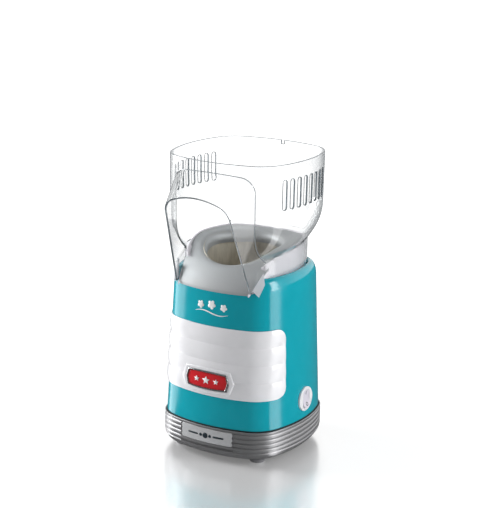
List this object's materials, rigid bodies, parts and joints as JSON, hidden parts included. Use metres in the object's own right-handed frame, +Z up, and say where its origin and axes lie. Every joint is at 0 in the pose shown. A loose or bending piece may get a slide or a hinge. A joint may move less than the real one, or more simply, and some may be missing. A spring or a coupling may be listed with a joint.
{
  "type": "popcorn maker",
  "caption": "Hot-air popcorn maker: crowned-square housing on a ribbed base, clear lift-off hood with a front chute, rocker switch at the side and a heater and fan inside.",
  "frame": {"origin": "on the surface the feet stand on, under the housing's vertical axis", "axes": "+Z up, the chute faces -Y, the switch is on the +X side"},
  "size_m": [0.1443, 0.1701, 0.297],
  "materials": {
    "base_silver": "metallic silver paint on plastic, satin",
    "dark_plastic": "black, fine texture",
    "plate_silver": "brushed",
    "seal_black": "matt",
    "turquoise": "high gloss",
    "white": "gloss",
    "chrome_trim": "plated plastic",
    "red": "gloss",
    "chute_grey": "satin",
    "chamber_alu": "drawn, slightly heat-tinted",
    "collar_white": "satin",
    "clear": "clear moulded plastic, polished",
    "switch_white": "gloss",
    "terminal_brass": "plain",
    "heater_steel": "plain sheet",
    "mica": "mica board",
    "heater_wire": "oxidised resistance wire",
    "fan_plastic": "moulded",
    "motor_steel": "zinc plated",
    "magnet": "ferrite",
    "board_green": "circuit board",
    "diode_black": "moulded",
    "screw_steel": "zinc plated",
    "foot_rubber": "matt"
  },
  "bodies": {
    "housing": {"base_skirt": "base_silver", "base_floor": "dark_plastic", "name_plate": "plate_silver", "seam_gasket": "seal_black", "body_shell": "turquoise", "front_panel": "white", "badge_frame": "chrome_trim", "badge_insert": "red", "cord_gland": "dark_plastic", "chute_plate": "chute_grey", "popping_chamber": "chamber_alu", "collar": "collar_white", "switch_housing": "switch_white", "switch_terminals": "terminal_brass", "heater_can": "heater_steel", "mica_plate_a": "mica", "mica_plate_b": "mica", "heater_coils": "heater_wire", "fan_housing": "fan_plastic", "motor_can": "motor_steel", "motor_end_cap": "dark_plastic", "motor_magnets": "magnet", "rectifier_board": "board_green", "rectifier_diodes": "diode_black", "thermostat": "motor_steel", "housing_screws": "screw_steel", "motor_screws": "screw_steel", "foot_front_left": "foot_rubber", "foot_front_right": "foot_rubber", "foot_back_left": "foot_rubber", "foot_back_right": "foot_rubber"},
    "hood_body": {"hood": "clear"},
    "rocker": {"rocker_button": "switch_white"},
    "fan": {"fan_impeller": "fan_plastic", "motor_shaft": "screw_steel", "rotor_core": "motor_steel"}
  },
  "joints": [
    {"name": "hood_lift", "type": "slide", "parent": "housing", "child": "hood_body", "axis": [0, 0, 1], "range_m": [0, 0.13]},
    {"name": "rocker_tilt", "type": "hinge", "parent": "housing", "child": "rocker", "pos_m": [0.06745, 0.0034, 0.0555], "axis": [0, 1, 0], "range_deg": [0, 16]},
    {"name": "fan_spin", "type": "hinge", "parent": "housing", "child": "fan", "pos_m": [0, -0.004, 0.064], "axis": [0, 0, 1], "continuous": true}
  ]
}
